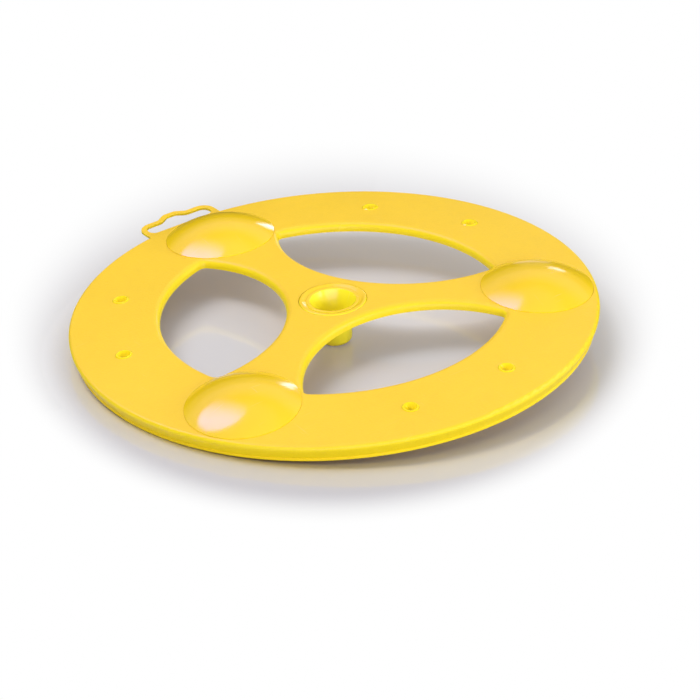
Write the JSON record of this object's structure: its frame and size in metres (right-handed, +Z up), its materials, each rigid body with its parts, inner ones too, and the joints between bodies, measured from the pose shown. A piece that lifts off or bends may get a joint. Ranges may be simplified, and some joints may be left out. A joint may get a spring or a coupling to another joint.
{
  "type": "merry go round",
  "caption": "Hand-size toy merry-go-round: a crowned three-spoke wheel with domed caps that spins on a hollow finger cup with a closed foot.",
  "frame": {"origin": "centre of the flat face of the foot that the toy stands on", "axes": "+Z up along the axis that the wheel turns on, +Y towards the hanging loop, +X to the right of it"},
  "size_m": [0.225, 0.2432, 0.0238],
  "materials": {
    "wheel_plastic": "satin orange-yellow injection-moulded plastic with a fine spark texture, brighter lemon at thin edges",
    "dome_plastic": "polished, slightly translucent yellow plastic",
    "stud_plastic": "polished lemon-yellow plastic",
    "cup_plastic": "polished, slightly translucent lemon-yellow plastic",
    "ring_plastic": "plain moulded yellow plastic"
  },
  "bodies": {
    "pivot": {"pivot_cup": "cup_plastic", "retaining_ring": "ring_plastic"},
    "wheel": {"wheel_disc": "wheel_plastic", "dome_cap_1": "dome_plastic", "dome_cap_2": "dome_plastic", "dome_cap_3": "dome_plastic", "rim_stud_1": "stud_plastic", "rim_stud_2": "stud_plastic", "rim_stud_3": "stud_plastic", "rim_stud_4": "stud_plastic", "rim_stud_5": "stud_plastic", "rim_stud_6": "stud_plastic"}
  },
  "joints": [
    {"name": "wheel_spin", "type": "hinge", "parent": "pivot", "child": "wheel", "pos_m": [0, 0, 0.0173], "axis": [0, 0, 1], "continuous": true}
  ]
}
